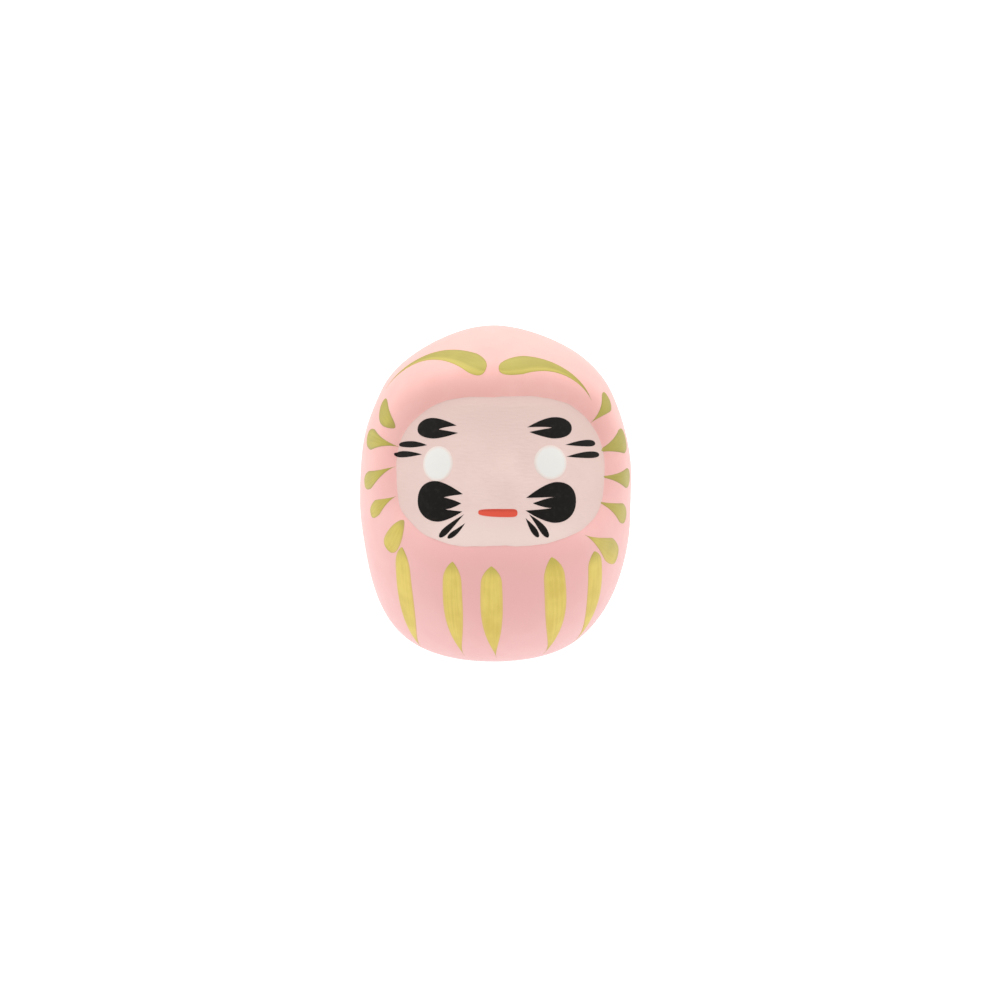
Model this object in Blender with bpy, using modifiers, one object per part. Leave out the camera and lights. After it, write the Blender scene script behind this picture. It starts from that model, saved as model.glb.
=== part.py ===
"""A roly-poly daruma doll: a hollow paper-pulp body on a clay weight, with a sunken painted face.

The doll stands on the floor at z = 0, its axis is Z and its face looks along -Y.
"""

import math

import bmesh
import bpy
import numpy as np
from mathutils import Vector

MM = 0.001

# Body: a turned outline, widest at the belly, cut flat at the foot.
BODY_HEIGHT = 100 * MM
BODY_DIAMETER = 82.5 * MM
BELLY_HEIGHT = 52 * MM
FOOT_DIAMETER = 26 * MM
SHOULDER_FULLNESS = 2.2
BOTTOM_FULLNESS = 2.6

# Shell: two pulp halves on a paper collar, open at the bottom round the weight.
WALL = 2.2 * MM
OPENING_HEIGHT = 3 * MM
COLLAR_WIDTH = 12 * MM
COLLAR_THICKNESS = 0.8 * MM
COLLAR_END_LATITUDE = -35
CLEARANCE = 0.3 * MM
SEAM_GAP = 0.45 * MM

# Weight: a clay plug in the opening.
PLUG_HEIGHT = 14 * MM
PLUG_CHAMFER = 2 * MM

# Face: a sunken panel, measured round the body, with a rolled lip.
FACE_LATITUDE = 15
FACE_WIDTH = 79 * MM
FACE_HEIGHT = 48 * MM
FACE_SQUARENESS = 2.9
HOOD_DEPTH = 5 * MM
CHIN_DEPTH = 2.5 * MM
LIP_WIDTH = 6 * MM
NOSE_LATITUDE = 11
NOSE_PROUD = 1.2 * MM
NOSE_HALF_WIDTH = 4 * MM
NOSE_HALF_LENGTH = 6 * MM

# Paint: each coat is a film that lies a small gap above what it covers.
PAINT_GAP = 0.3 * MM
PAINT_THICKNESS = 0.35 * MM
FACE_COAT_MARGIN = 0.6 * MM

# Black, red and white marks of the face.
EYE_DIAMETER = 10 * MM
BROW_LENGTH = 14 * MM
BROW_HEIGHT = 6.4 * MM
BEARD_LENGTH = 15.5 * MM
BEARD_HEIGHT = 11.8 * MM
TEMPLE_STROKE_LENGTH = 11.5 * MM
TEMPLE_STROKE_WIDTH = 2 * MM
WHISKER_LENGTH = 8 * MM
WHISKER_WIDTH = 2 * MM
MOUTH_LENGTH = 11.5 * MM
MOUTH_WIDTH = 2.4 * MM
BROW_PRONGS = [(0.45, -0.8), (1, -0.15), (0.1, 0), (0.95, 0.4), (0.5, 0.8)]
BEARD_PRONGS = [(0.65, -0.75), (1, -0.4), (0.1, -0.32), (0.9, 0), (0.15, 0.26), (1, 0.42), (0.6, 0.78)]

# Gold strokes of the hood and the belly.
HOOD_STROKE_LENGTH = 35 * MM
HOOD_STROKE_WIDTH = 5 * MM
HOOD_STROKE_BEND = 4 * MM
SIDE_STROKE_LENGTH = 13 * MM
SIDE_STROKE_WIDTH = 5 * MM
SIDE_STROKE_START = 1 * MM
BELLY_STROKE_LENGTH = 36 * MM
BELLY_STROKE_WIDTH = 7 * MM

# Brush: how blunt a stroke starts and how slowly it thins out, as powers of its length.
BLUNTNESS = 0.45
FINE_TAPER = 0.9
MOUTH_TAPER = 0.45
HOOD_TAPER = 0.7
SIDE_TAPER = 1.1
BELLY_TAPER = 0.8

# Mesh fineness.
SEGMENTS = 56
FACE_RINGS = 5
LIP_RINGS = 4
HOOD_RINGS = 8
BACK_RINGS = 20
OUTLINE_STEPS = 9
CUT_STEP = 6 * MM
LIP_CUT_STEP = 2 * MM
WELD = 0.05 * MM

BODY_RADIUS = BODY_DIAMETER / 2
FOOT_RADIUS = FOOT_DIAMETER / 2
BELLY = Vector((0, 0, BELLY_HEIGHT))
SHOULDER_REACH = BODY_HEIGHT - BELLY_HEIGHT
FOOT_SHARE = (FOOT_RADIUS / BODY_RADIUS) ** BOTTOM_FULLNESS
BOTTOM_REACH = BELLY_HEIGHT / (1 - FOOT_SHARE) ** (1 / BOTTOM_FULLNESS)


def direction_at(longitude, latitude):
    """Unit vector from the belly's centre: longitude 0 is the front, latitude 0 the belly."""
    east = math.radians(longitude)
    north = math.radians(latitude)
    return Vector((math.sin(east) * math.cos(north), -math.cos(east) * math.cos(north), math.sin(north)))


FACE_AXIS = direction_at(0, FACE_LATITUDE)
FACE_UP = direction_at(0, FACE_LATITUDE + 90)
FACE_RIGHT = Vector((1, 0, 0))
NOSE = direction_at(0, NOSE_LATITUDE)


def outline_reach(direction):
    """Distance from the belly's centre to the turned outline, one superellipse above and one below."""
    above = direction.z > 0
    height = SHOULDER_REACH if above else BOTTOM_REACH
    fullness = SHOULDER_FULLNESS if above else BOTTOM_FULLNESS
    across = math.hypot(direction.x, direction.y) / BODY_RADIUS
    along = abs(direction.z) / height
    return (across ** fullness + along ** fullness) ** (-1 / fullness)


def outline_radius(height):
    """Radius of the turned outline at a height between the foot and the belly."""
    drop = (BELLY_HEIGHT - height) / BOTTOM_REACH
    return BODY_RADIUS * (1 - drop ** BOTTOM_FULLNESS) ** (1 / BOTTOM_FULLNESS)


def face_direction(angle, turn):
    """Direction at an angle from the face's axis: turn 0 is to the right, a quarter turn is up."""
    sideways = FACE_RIGHT * math.cos(turn) + FACE_UP * math.sin(turn)
    return FACE_AXIS * math.cos(angle) + sideways * math.sin(angle)


def face_edge(turn):
    """Angle from the face's axis to the face's edge, a superellipse."""
    across = abs(math.cos(turn)) / (FACE_WIDTH / 2)
    upward = abs(math.sin(turn)) / (FACE_HEIGHT / 2)
    reach = (across ** FACE_SQUARENESS + upward ** FACE_SQUARENESS) ** (-1 / FACE_SQUARENESS)
    return reach / BODY_RADIUS


def face_sink(direction):
    """Depth of the face under the turned outline: most under the hood, rolled off round the edge."""
    angle = direction.angle(FACE_AXIS)
    turn = math.atan2(direction.dot(FACE_UP), direction.dot(FACE_RIGHT))
    edge = face_edge(turn)
    height = min(angle, edge) * math.sin(turn) * BODY_RADIUS / FACE_HEIGHT + 0.5
    depth = CHIN_DEPTH + (HOOD_DEPTH - CHIN_DEPTH) * height
    past_edge = (angle - edge) * BODY_RADIUS / LIP_WIDTH
    roll = 1 - min(max(past_edge, 0), 1)
    from_nose = (direction - NOSE) * BODY_RADIUS
    spread = (from_nose.xy.length / NOSE_HALF_WIDTH) ** 2 + (from_nose.z / NOSE_HALF_LENGTH) ** 2
    return depth * roll ** 2 - NOSE_PROUD * math.exp(-spread)


def skin(direction, lift=0.0):
    """Point of the doll's outside in a direction from the belly's centre, or a lift above it."""
    return BELLY + direction * (outline_reach(direction) - face_sink(direction) + lift)


def front_angle(ring, turn):
    """Angle from the face's axis to a ring of the front half, spaced to follow the edge and the lip."""
    edge = face_edge(turn)
    seam = math.atan2(-FACE_AXIS.y, FACE_UP.y * math.sin(turn))
    lip_end = FACE_RINGS + LIP_RINGS
    marks = [0, FACE_RINGS, lip_end, lip_end + HOOD_RINGS]
    return float(np.interp(ring, marks, [0, edge, edge + LIP_WIDTH / BODY_RADIUS, seam]))


def paint(name, red, green, blue, roughness, metallic=0.0):
    """A Principled material from a colour in screen values of 0 to 255."""
    material = bpy.data.materials.new(name)
    material.use_nodes = True
    shader = material.node_tree.nodes["Principled BSDF"]
    linear = [((value / 255 + 0.055) / 1.055) ** 2.4 for value in (red, green, blue)]
    shader.inputs["Base Color"].default_value = (*linear, 1)
    shader.inputs["Roughness"].default_value = roughness
    shader.inputs["Metallic"].default_value = metallic
    material.diffuse_color = (*linear, 1)
    return material


def add_part(name, mesh, material):
    """A named part of the doll, from a mesh under construction."""
    data = bpy.data.meshes.new(name)
    mesh.to_mesh(data)
    mesh.free()
    data.materials.append(material)
    data.shade_smooth()
    part = bpy.data.objects.new(name, data)
    DOLL.objects.link(part)
    return part


def add_wall(part, thickness):
    """Thicken an open surface inward."""
    wall = part.modifiers.new("Wall", 'SOLIDIFY')
    wall.thickness = thickness
    wall.offset = -1
    wall.use_even_offset = True


def half_ball(rings):
    """Half a ball with its pole up, and the ring number of each vertex."""
    mesh = bmesh.new()
    bmesh.ops.create_uvsphere(mesh, u_segments=SEGMENTS, v_segments=2 * rings, radius=1)
    bmesh.ops.delete(mesh, geom=[v for v in mesh.verts if v.co.z < -0.5 / rings], context='VERTS')
    steps = {v: round(2 * rings * math.acos(min(v.co.z, 1)) / math.pi) for v in mesh.verts}
    return mesh, steps


def cut_opening(mesh):
    """Take away what lies below the opening for the weight, and round off the cut."""
    everything = mesh.verts[:] + mesh.edges[:] + mesh.faces[:]
    level = Vector((0, 0, OPENING_HEIGHT))
    cut = bmesh.ops.bisect_plane(mesh, geom=everything, plane_co=level, plane_no=(0, 0, -1), clear_outer=True)
    for vertex in [item for item in cut["geom_cut"] if isinstance(item, bmesh.types.BMVert)]:
        vertex.co.xy *= outline_radius(OPENING_HEIGHT) / vertex.co.xy.length
    bmesh.ops.remove_doubles(mesh, verts=mesh.verts[:], dist=WELD)


def front_shell(material):
    """Front half with the sunken face, up to the joint of the halves."""
    mesh, rings = half_ball(FACE_RINGS + LIP_RINGS + HOOD_RINGS)
    for vertex in mesh.verts:
        turn = math.atan2(vertex.co.y, vertex.co.x)
        vertex.co = skin(face_direction(front_angle(rings[vertex], turn), turn))
        vertex.co.y = min(vertex.co.y, -SEAM_GAP)
    cut_opening(mesh)
    add_wall(add_part("front_shell", mesh, material), WALL)


def turn_round(part, angle, steps):
    """Turn a rail of edges round the doll's axis."""
    turning = part.modifiers.new("Turn", 'SCREW')
    turning.angle = angle
    turning.steps = steps
    turning.render_steps = steps
    turning.use_merge_vertices = True
    turning.merge_threshold = WELD
    turning.use_normal_calculate = True


def rail_of(points):
    """An open chain of edges through points given as a radius and a height."""
    mesh = bmesh.new()
    rail = [mesh.verts.new((radius, 0, height)) for radius, height in points]
    for lower, upper in zip(rail, rail[1:]):
        mesh.edges.new((lower, upper))
    return mesh


def back_shell(material):
    """Plain back half, turned from the opening up to the top."""
    opening = math.atan2(OPENING_HEIGHT - BELLY_HEIGHT, outline_radius(OPENING_HEIGHT))
    latitudes = np.linspace(opening, math.pi / 2, BACK_RINGS + 1)
    rail = [skin(Vector((0, math.cos(latitude), math.sin(latitude)))) for latitude in latitudes]
    part = add_part("back_shell", rail_of([(point.y, point.z) for point in rail]), material)
    turn_round(part, math.pi, SEGMENTS // 2)
    add_wall(part, WALL)


def seam_collar(material):
    """Paper strip glued inside the joint, from one side of the weight over the top to the other."""
    mesh = bmesh.new()
    bmesh.ops.create_grid(mesh, x_segments=SEGMENTS // 2, y_segments=2, size=1)
    first = math.radians(COLLAR_END_LATITUDE)
    for vertex in mesh.verts:
        turn = math.pi / 2 - vertex.co.x * (math.pi / 2 - first)
        slant = vertex.co.y * COLLAR_WIDTH / BODY_DIAMETER
        direction = Vector((math.cos(turn), slant, math.sin(turn))).normalized()
        vertex.co = skin(direction, -WALL - 2 * CLEARANCE)
    add_wall(add_part("seam_collar", mesh, material), COLLAR_THICKNESS)


def base_weight(material):
    """Turned clay plug: the foot, the skin up to the opening, a seat for the shell and a plug inside."""
    top = OPENING_HEIGHT - CLEARANCE
    skirt = [(outline_radius(height), height) for height in np.linspace(0, top, 5)]
    across = outline_radius(OPENING_HEIGHT) - outline_radius(top)
    slope = Vector((across, OPENING_HEIGHT - top)).normalized()
    inner_edge = Vector((outline_radius(OPENING_HEIGHT), OPENING_HEIGHT)) + WALL * Vector((-slope.y, slope.x))
    plug_radius = inner_edge.x - 2 * CLEARANCE
    seat_rise = (outline_radius(top) - plug_radius) * slope.x / slope.y
    plug_top = OPENING_HEIGHT + PLUG_HEIGHT
    plug = [
        (plug_radius, top + seat_rise),
        (plug_radius, plug_top - PLUG_CHAMFER),
        (plug_radius - PLUG_CHAMFER, plug_top),
        (0, plug_top),
    ]
    part = add_part("base_weight", rail_of([(0, 0), *skirt, *plug]), material)
    turn_round(part, 2 * math.pi, SEGMENTS)


def face_coat(material):
    """Cream coat on the sunken face, made on the same rings as the shell under it."""
    mesh, rings = half_ball(FACE_RINGS)
    for vertex in mesh.verts:
        turn = math.atan2(vertex.co.y, vertex.co.x)
        reach = (face_edge(turn) - FACE_COAT_MARGIN / BODY_RADIUS) * rings[vertex] / FACE_RINGS
        vertex.co = skin(face_direction(reach, turn), PAINT_GAP + PAINT_THICKNESS)
    add_wall(add_part("face_coat", mesh, material), PAINT_THICKNESS)


def oval(length, width):
    """Outline of an oval."""
    turns = [2 * math.pi * step / (2 * OUTLINE_STEPS) for step in range(2 * OUTLINE_STEPS)]
    return [(length / 2 * math.cos(turn), width / 2 * math.sin(turn)) for turn in turns]


def stroke(length, width, taper, bend=0.0):
    """Outline of one brush stroke along x: it swells from a blunt start and thins out to its tip.

    At a share t of the length the half width goes as t ** BLUNTNESS * (1 - t) ** taper, and the middle
    of the stroke bows aside by the bend.
    """
    steps = [(1 - math.cos(math.pi * step / OUTLINE_STEPS)) / 2 for step in range(OUTLINE_STEPS + 1)]
    widest = BLUNTNESS / (BLUNTNESS + taper)
    peak = widest ** BLUNTNESS * (1 - widest) ** taper
    upper = []
    lower = []
    for step in steps:
        along = (step - 0.5) * length
        bow = 4 * bend * step * (1 - step)
        half = width / 2 * step ** BLUNTNESS * (1 - step) ** taper / peak
        upper.append((along, bow + half))
        lower.append((along, bow - half))
    return lower + upper[-2:0:-1]


def notched_patch(length, height, prongs):
    """Outline of a patch that is round on its left and slit into prongs on its right.

    The prongs run from the bottom to the top, as shares of the half length and the half height.
    """
    turns = [math.pi / 2 + math.pi * step / OUTLINE_STEPS for step in range(OUTLINE_STEPS + 1)]
    shares = [(math.cos(turn), math.sin(turn)) for turn in turns] + prongs
    return [(across * length / 2, up * height / 2) for across, up in shares]


def mirrored(outline):
    """The same outline for the other side of the face."""
    return [(-across, up) for across, up in outline]


def flat_film(outline, cut_step):
    """A flat film of paint with this outline, as a welded mesh, cut into squares so that it can bend."""
    curve = bpy.data.curves.new("Outline", 'CURVE')
    curve.dimensions = '2D'
    curve.fill_mode = 'BOTH'
    curve.extrude = PAINT_THICKNESS / 2
    spline = curve.splines.new('POLY')
    spline.points.add(len(outline) - 1)
    for point, (across, up) in zip(spline.points, outline):
        point.co = (across, up, 0, 1)
    spline.use_cyclic_u = True
    holder = bpy.data.objects.new("Outline", curve)
    film = bmesh.new()
    film.from_mesh(holder.to_mesh())
    bpy.data.objects.remove(holder)
    bmesh.ops.remove_doubles(film, verts=film.verts[:], dist=WELD)
    for axis in (Vector((1, 0, 0)), Vector((0, 1, 0))):
        reach = max(abs(vertex.co.dot(axis)) for vertex in film.verts)
        cuts = int(reach / cut_step)
        for step in range(-cuts, cuts + 1):
            everything = film.verts[:] + film.edges[:] + film.faces[:]
            bmesh.ops.bisect_plane(film, geom=everything, plane_co=axis * cut_step * step, plane_no=axis)
    bmesh.ops.remove_doubles(film, verts=film.verts[:], dist=WELD)
    bmesh.ops.triangulate(film, faces=film.faces[:])
    bmesh.ops.recalc_face_normals(film, faces=film.faces[:])
    return film


def level_axes(direction):
    """The level direction to the right of a place on the doll, and the upward one square to it."""
    right = Vector((-direction.y, direction.x, 0)).normalized()
    return right, direction.cross(right)


def lay_paint(name, outline, middle, material, turn=0.0, coats_below=0, cut_step=CUT_STEP):
    """Lay a flat outline on the skin round a middle direction, turned from the level."""
    right, upward = level_axes(middle)
    distance = outline_reach(middle)
    cosine = math.cos(math.radians(turn))
    sine = math.sin(math.radians(turn))
    base = PAINT_GAP + coats_below * (PAINT_GAP + PAINT_THICKNESS) + PAINT_THICKNESS / 2
    film = flat_film(outline, cut_step)
    for vertex in film.verts:
        across = vertex.co.x * cosine - vertex.co.y * sine
        up = vertex.co.x * sine + vertex.co.y * cosine
        direction = (middle * distance + right * across + upward * up).normalized()
        vertex.co = skin(direction, base + vertex.co.z)
    add_part(name, film, material)


def face_marks(white, black, red):
    """Eyes, brows, temple strokes, beard, whiskers and mouth, over the face's coat."""
    eye = oval(EYE_DIAMETER, EYE_DIAMETER)
    brow = notched_patch(BROW_LENGTH, BROW_HEIGHT, BROW_PRONGS)
    beard = notched_patch(BEARD_LENGTH, BEARD_HEIGHT, BEARD_PRONGS)
    temple = stroke(TEMPLE_STROKE_LENGTH, TEMPLE_STROKE_WIDTH, FINE_TAPER)
    whisker = stroke(WHISKER_LENGTH, WHISKER_WIDTH, FINE_TAPER)
    lips = stroke(MOUTH_LENGTH, MOUTH_WIDTH, MOUTH_TAPER)
    marks = [
        ("left_eye", eye, -31, 17, white, 0),
        ("right_eye", eye, 22, 17, white, 0),
        ("left_brow", brow, -34, 32, black, 0),
        ("right_brow", mirrored(brow), 26, 32, black, 0),
        ("left_beard", beard, -30, 0, black, 0),
        ("right_beard", mirrored(beard), 23, -1, black, 0),
        ("left_upper_temple_stroke", temple, -47, 24, black, 4),
        ("left_lower_temple_stroke", temple, -48, 19, black, 6),
        ("right_upper_temple_stroke", temple, 42, 24, black, 177),
        ("right_lower_temple_stroke", temple, 42, 19, black, 177),
        ("left_outer_whisker", whisker, -23, -10, black, 40),
        ("left_inner_whisker", whisker, -19.5, -13, black, 42),
        ("right_outer_whisker", whisker, 16, -10, black, 130),
        ("right_inner_whisker", whisker, 11.5, -12, black, 123),
        ("mouth", lips, -3, -4.5, red, 0),
    ]
    for name, outline, longitude, latitude, material, turn in marks:
        lay_paint(name, outline, direction_at(longitude, latitude), material, turn, coats_below=1)


def hood_strokes(gold):
    """Two arched strokes on the hood, from its middle outward and down."""
    left = stroke(HOOD_STROKE_LENGTH, HOOD_STROKE_WIDTH, HOOD_TAPER, -HOOD_STROKE_BEND)
    right = stroke(HOOD_STROKE_LENGTH, HOOD_STROKE_WIDTH, HOOD_TAPER, HOOD_STROKE_BEND)
    lay_paint("left_hood_stroke", left, direction_at(-47, 56), gold, -162)
    lay_paint("right_hood_stroke", right, direction_at(32, 53), gold, -27)


def side_strokes(gold, side, fan):
    """Strokes that fan out from the face's edge, each at its turn round the face and with its slant."""
    outline = stroke(SIDE_STROKE_LENGTH, SIDE_STROKE_WIDTH, SIDE_TAPER)
    for number, (turn, slant) in enumerate(fan, 1):
        clock = math.radians(turn)
        reach = SIDE_STROKE_LENGTH / 2 * math.cos(math.radians(slant))
        middle = face_direction(face_edge(clock) + (SIDE_STROKE_START + reach) / BODY_RADIUS, clock)
        right, upward = level_axes(middle)
        inward = math.atan2(FACE_AXIS.dot(upward), FACE_AXIS.dot(right))
        name = f"{side}_side_stroke_{number}"
        lay_paint(name, outline, middle, gold, math.degrees(inward) + slant, cut_step=LIP_CUT_STEP)


def belly_strokes(gold):
    """Upright strokes under the face, from left to right."""
    outline = stroke(BELLY_STROKE_LENGTH, BELLY_STROKE_WIDTH, BELLY_TAPER)
    places = [(-52, -40, -109), (-25, -43, -95), (-5, -44, -88), (25, -43, -77), (51, -42, -70)]
    for number, (longitude, latitude, turn) in enumerate(places, 1):
        lay_paint(f"belly_stroke_{number}", outline, direction_at(longitude, latitude), gold, turn)


for old in list(bpy.data.objects):
    bpy.data.objects.remove(old)
DOLL = bpy.data.collections.new("daruma_doll")
bpy.context.scene.collection.children.link(DOLL)

pink = paint("pink_gofun", 246, 196, 190, 0.75)
front_shell(pink)
back_shell(pink)
seam_collar(paint("grey_paper", 190, 182, 170, 0.9))
base_weight(paint("fired_clay", 186, 140, 112, 0.85))
face_coat(paint("cream_gofun", 234, 209, 201, 0.75))
face_marks(
    white=paint("eye_white", 238, 236, 231, 0.6),
    black=paint("black_ink", 40, 36, 34, 0.6),
    red=paint("red_paint", 223, 88, 69, 0.55),
)
gold = paint("gold_paint", 216, 196, 112, 0.4, 0.3)
hood_strokes(gold)
side_strokes(gold, "left", [(149, -36), (162, -6), (176, 14), (193, 11), (208, 32)])
side_strokes(gold, "right", [(34, 33), (14, 3), (0, 3), (-16, -4), (-36, 7)])
belly_strokes(gold)
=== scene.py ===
import bpy
import numpy as np
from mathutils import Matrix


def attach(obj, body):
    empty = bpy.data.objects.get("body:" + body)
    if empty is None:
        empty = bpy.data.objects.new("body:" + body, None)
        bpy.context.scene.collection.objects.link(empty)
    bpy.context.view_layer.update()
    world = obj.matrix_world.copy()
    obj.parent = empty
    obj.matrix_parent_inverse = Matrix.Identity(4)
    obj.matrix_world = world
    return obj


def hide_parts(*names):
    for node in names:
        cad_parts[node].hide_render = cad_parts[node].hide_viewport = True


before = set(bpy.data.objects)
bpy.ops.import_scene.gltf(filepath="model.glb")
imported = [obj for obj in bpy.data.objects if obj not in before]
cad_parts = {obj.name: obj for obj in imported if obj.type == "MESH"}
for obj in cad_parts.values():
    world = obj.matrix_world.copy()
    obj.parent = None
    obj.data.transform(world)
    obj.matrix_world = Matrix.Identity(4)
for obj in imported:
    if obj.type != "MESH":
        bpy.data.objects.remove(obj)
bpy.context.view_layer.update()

# The weight: clay turned to the round of the doll's bottom, with a plug that is glued into the opening
# of the paper shell. The pink coat runs down over its side, and the flat foot is left as bare clay.
# Sizes of shapes are in millimetres and degrees. Places and depths in a finish are in metres.
MM = 0.001
BODY_HEIGHT = 100.0
BODY_RADIUS = 41.25
BELLY_HEIGHT = 52.0
FOOT_RADIUS = 13.0
SHOULDER_FULLNESS = 2.2
BOTTOM_FULLNESS = 2.6
SHOULDER_REACH = BODY_HEIGHT - BELLY_HEIGHT
FOOT_SHARE = (FOOT_RADIUS / BODY_RADIUS) ** BOTTOM_FULLNESS
BOTTOM_REACH = BELLY_HEIGHT / (1 - FOOT_SHARE) ** (1 / BOTTOM_FULLNESS)
OPENING_HEIGHT = 3.0
WALL = 2.2
PLUG_HEIGHT = 17.0
PLUG_CHAMFER = 2.0
PLUG_EASE = 0.985
PLUG_TOP = 0.9
CROWN_PEAK = 0.45
CROWN_START = 22.0
CROWN_FADE = 20.0
CROWN_SHOULDER = 44.0
CROWN_PERIOD = 50.0
RIPPLE = 0.08
# Each ripple: a wave and its phase, times a crossing wave and its phase.
RIPPLES = [((9, 0, 4), 1, (0, 7, 0), 2), ((0, 5, 12), 0, (8, 0, 0), 0)]
# Each swell: longitude, latitude, height and spread.
SWELLS = [(-94, -31, -0.7, 14), (-94, -60, 1.1, 17), (86, -64, 0.3, 12), (-60, 83, 0.5, 12)]
ROUND_STEPS = 192
SKIRT_ROWS = 14
FOOT_RINGS = 9
SHARP_EDGE = np.radians(75)
BRUSH_UV = "brush"
MIX_FACTOR, MIX_UNDER, MIX_OVER, MIX_COLOUR = 0, 6, 7, 2

PINK = (0.855, 0.462, 0.438, 1)
PALE_PINK = (0.878, 0.500, 0.473, 1)
# Partly a rosier coat and partly painted shade: the deeper rose on the front of the belly.
SHADED_ROSE = (0.800, 0.415, 0.395, 1)
COOL_GLAZE = (0.995, 1.02, 1.05, 1)
WARM_GLAZE = (1, 0.995, 0.95, 1)
CLAY = (0.50, 0.41, 0.33, 1)
DARK_CLAY = (0.36, 0.29, 0.23, 1)
CHALK = {"Specular_IOR_Level": 0.2, "Sheen_Weight": 0.28, "Sheen_Roughness": 0.5}
# A noise is its scale, its detail and, where it is not an even one, its roughness.
COAT_CLOUDS = (55, 2)
COAT_DAUBS = (230, 3)
COAT_GRAIN = (1900, 2)
CLOUD_SHARE, DAUB_SHARE = 0.6, 0.4
COAT_TONES = (0.3, 0.7)
DAUB_RELIEF, GRAIN_RELIEF = 0.75, 0.25
COAT_RELIEF = 0.00012
# Where the front of the belly is painted a deeper rose, partly as a rosier coat and partly as painted shade.
BELLY_SHADE_TOP = (0.052, 0.036)
BELLY_SHADE_BOTTOM = (0.004, 0.024)
BELLY_SHADE_FRONT = (0.020, 0.040)
BELLY_SHADE_STRENGTH = 0.75
CLAY_GRIT = (900, 4, 0.7)
CLAY_TONES = (0.35, 0.65)
CLAY_ROUGHNESS = 0.8
COAT_SMOOTHER = 0.2
FOOT_WAVER = (420, 3)
FOOT_WAVER_HEIGHT = 0.0008
FOOT_LINE = (0.0006, 0.0009)


def direction_at(longitude, latitude):
    """Unit vectors from the belly's centre, in degrees: longitude 0 is the front, latitude 0 the belly."""
    east, north = np.radians(longitude), np.radians(latitude)
    parts = np.sin(east) * np.cos(north), -np.cos(east) * np.cos(north), np.sin(north) + 0 * east
    return np.stack(parts, axis=-1)


def outline_reach(directions):
    """Distance from the belly's centre to the outline in each direction.

    The outline is a superellipse, (across / radius) ** fullness + (up / reach) ** fullness = 1, with
    one reach and fullness above the belly and another pair below it. The crown is drawn up to a soft
    peak by a cosine of the latitude. Each swell of the hand is a bell curve round its own place, and
    each ripple is the product of two sine waves that cross.
    """
    rise = directions[..., 2]
    across = np.sqrt(np.clip(1 - rise ** 2, 0, 1))
    reach = np.where(rise > 0, SHOULDER_REACH, BOTTOM_REACH)
    fullness = np.where(rise > 0, SHOULDER_FULLNESS, BOTTOM_FULLNESS)
    outline = ((across / BODY_RADIUS) ** fullness + (np.abs(rise) / reach) ** fullness) ** (-1 / fullness)
    latitude = np.degrees(np.arcsin(np.clip(rise, -1, 1)))
    fade = np.clip((latitude - CROWN_START) / CROWN_FADE, 0, 1) ** 2
    crown = CROWN_PEAK * fade * np.cos(np.radians(latitude - CROWN_SHOULDER) * 360 / CROWN_PERIOD)
    ripple = sum(np.sin(directions @ wave + phase) * np.sin(directions @ crossing + crossing_phase)
                 for wave, phase, crossing, crossing_phase in RIPPLES)
    swell = sum(height * np.exp((directions @ direction_at(east, north) - 1) * 2 / np.radians(spread) ** 2)
                for east, north, height, spread in SWELLS)
    return outline + crown + swell + RIPPLE * ripple


def closed_piece(name, rows, uv=None):
    """A closed mesh over a grid of points in millimetres, whose rows are rings from one end to the other.

    The first and last rings have shrunk to a point. Quads join each ring to the next, two fans close
    the ends, and all faces are turned over if the volume that they enclose comes out negative.
    """
    ring = rows.shape[1]
    inner = np.arange(1, 1 + (len(rows) - 2) * ring).reshape(-1, ring)
    beside = np.roll(inner, -1, axis=1)
    last = inner[-1, -1] + 1
    points = np.concatenate([rows[:1, 0], rows[1:-1].reshape(-1, 3), rows[-1:, 0]]) * MM
    quads = np.stack([inner[:-1], beside[:-1], beside[1:], inner[1:]], axis=-1).reshape(-1, 4)
    start = np.stack([np.zeros(ring, int), beside[0], inner[0]], axis=-1)
    end = np.stack([np.full(ring, last), inner[-1], beside[-1]], axis=-1)
    triangles = np.concatenate([quads[:, [0, 1, 2]], quads[:, [0, 2, 3]], start, end])
    corners = points[triangles]
    volume = np.einsum("ij,ij->", corners[:, 0], np.cross(corners[:, 1], corners[:, 2]))
    order = 1 if volume > 0 else -1
    faces = [*quads[:, ::order].tolist(), *start[:, ::order].tolist(), *end[:, ::order].tolist()]
    mesh = bpy.data.meshes.new(name)
    mesh.from_pydata(points.tolist(), [], faces)
    mesh.polygons.foreach_set("use_smooth", np.ones(len(faces), bool))
    mesh.set_sharp_from_angle(angle=SHARP_EDGE)
    if uv is not None:
        spread = np.concatenate([uv[:1].mean(axis=1), uv[1:-1].reshape(-1, 2), uv[-1:].mean(axis=1)])
        corner = np.empty(len(mesh.loops), np.int32)
        mesh.loops.foreach_get("vertex_index", corner)
        mesh.uv_layers.new(name=BRUSH_UV).data.foreach_set("uv", spread[corner].ravel())
    piece = bpy.data.objects.new(name, mesh)
    bpy.context.scene.collection.objects.link(piece)
    return piece


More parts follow.
